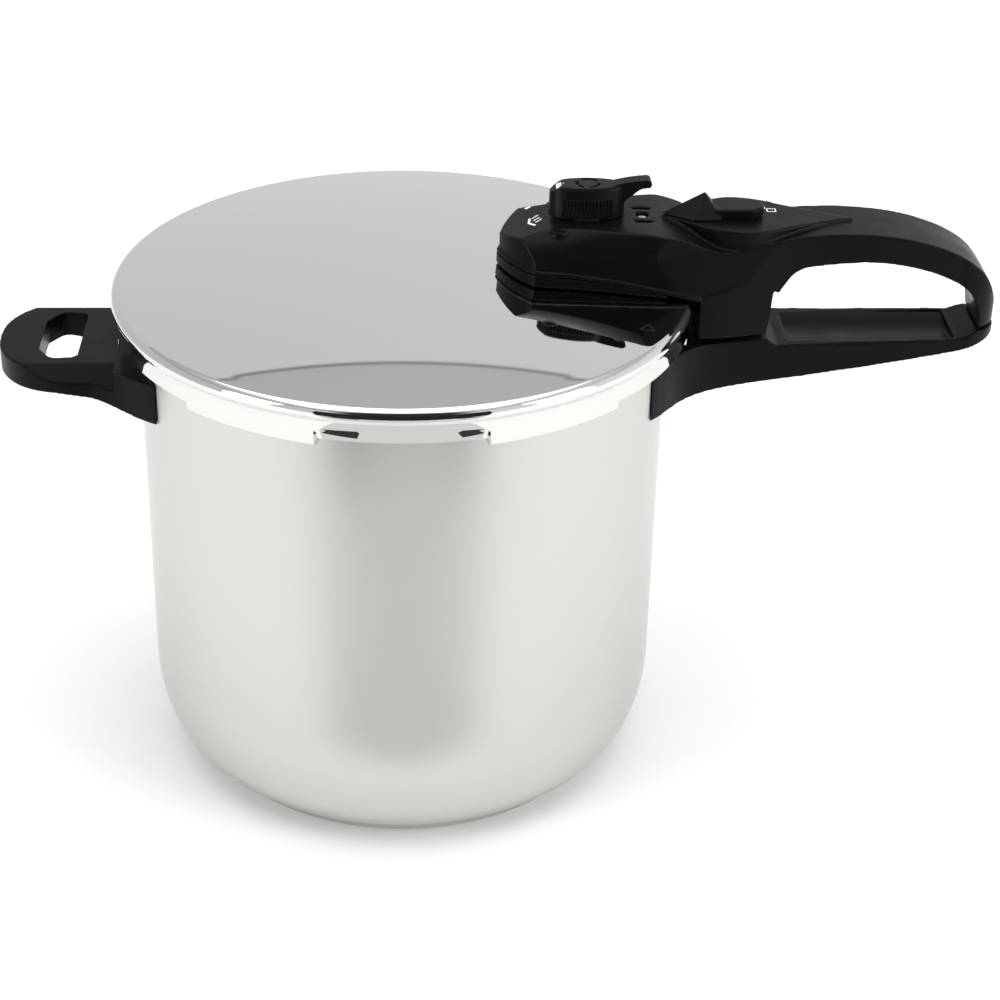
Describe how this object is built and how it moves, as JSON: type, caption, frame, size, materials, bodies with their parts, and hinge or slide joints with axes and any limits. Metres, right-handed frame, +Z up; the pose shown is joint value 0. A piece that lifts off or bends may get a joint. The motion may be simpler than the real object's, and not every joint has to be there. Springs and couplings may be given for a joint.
{
  "type": "stovetop pressure cooker",
  "caption": "Tall stainless steel stovetop pressure cooker with a bayonet lid, long two-part black handle with steam selector and sliding lock, and a short helper handle.",
  "frame": {"origin": "on the pot's axis at the plane the base stands on", "axes": "+Z up along the pot's axis, +X along the long handle, -Y towards the front"},
  "size_m": [0.4576, 0.266, 0.2876],
  "materials": {
    "pot_steel": "satin stainless steel",
    "base_steel": "satin stainless steel",
    "base_aluminium": "plain sheet aluminium",
    "lid_steel": "mirror-polished stainless steel",
    "bracket_steel": "pressed stainless steel",
    "screw_steel": "stainless machine screw",
    "spring_steel": "drawn stainless wire",
    "valve_steel": "turned stainless steel",
    "valve_brass": "turned, plain",
    "silicone_grey": "moulded silicone, matt",
    "handle_black": "compression-moulded phenolic, satin",
    "knob_black": "moulded phenolic, satin",
    "slider_black": "moulded nylon, satin"
  },
  "bodies": {
    "pot": {"pot_body": "pot_steel", "base_cap": "base_steel", "base_core": "base_aluminium", "body_handle": "handle_black", "body_handle_bracket": "bracket_steel", "body_handle_screw": "screw_steel", "helper_handle": "handle_black", "helper_handle_bracket": "bracket_steel", "helper_handle_screw": "screw_steel"},
    "lid": {"lid_shell": "lid_steel", "lid_gasket": "silicone_grey", "handle_cover": "handle_black", "handle_base": "handle_black", "handle_screws": "screw_steel", "housing_screws": "screw_steel", "valve_body": "valve_brass", "valve_nut": "valve_brass", "valve_seal": "silicone_grey", "valve_spring": "spring_steel", "indicator_bush": "valve_brass", "indicator_nut": "valve_brass", "indicator_washer": "silicone_grey", "safety_body": "valve_brass", "safety_nut": "valve_brass", "safety_seal": "silicone_grey", "safety_spring": "spring_steel", "safety_cap": "valve_brass"},
    "selector": {"selector_knob": "knob_black", "selector_clip": "spring_steel"},
    "valve": {"valve_poppet": "valve_steel"},
    "indicator": {"indicator_pin": "valve_steel", "indicator_seal": "silicone_grey"},
    "safety": {"safety_ball": "valve_steel"},
    "lock": {"lock_button": "slider_black", "lock_bolt": "bracket_steel", "lock_screw": "screw_steel"}
  },
  "joints": [
    {"name": "lid_turn", "type": "hinge", "parent": "pot", "child": "lid", "pos_m": [0, 0, 0.23], "axis": [0, 0, 1], "range_deg": [0, 30]},
    {"name": "selector_turn", "type": "hinge", "parent": "lid", "child": "selector", "pos_m": [0.0827, 0, 0.27], "axis": [0, 0, 1], "range_deg": [-60, 60]},
    {"name": "lock_slide", "type": "slide", "parent": "lid", "child": "lock", "axis": [-1, 0, 0], "range_m": [0, 0.005]},
    {"name": "indicator_rise", "type": "slide", "parent": "lid", "child": "indicator", "axis": [0, 0, 1], "range_m": [0, 0.0045]},
    {"name": "valve_lift", "type": "slide", "parent": "lid", "child": "valve", "axis": [0, 0, 1], "range_m": [0, 0.0015], "stiffness_N_per_m": 600, "springref_m": -0.001, "deforming": ["valve_spring"]},
    {"name": "safety_lift", "type": "slide", "parent": "lid", "child": "safety", "axis": [0, 0, 1], "range_m": [0, 0.001], "stiffness_N_per_m": 1500, "springref_m": -0.001, "deforming": ["safety_spring"]}
  ]
}
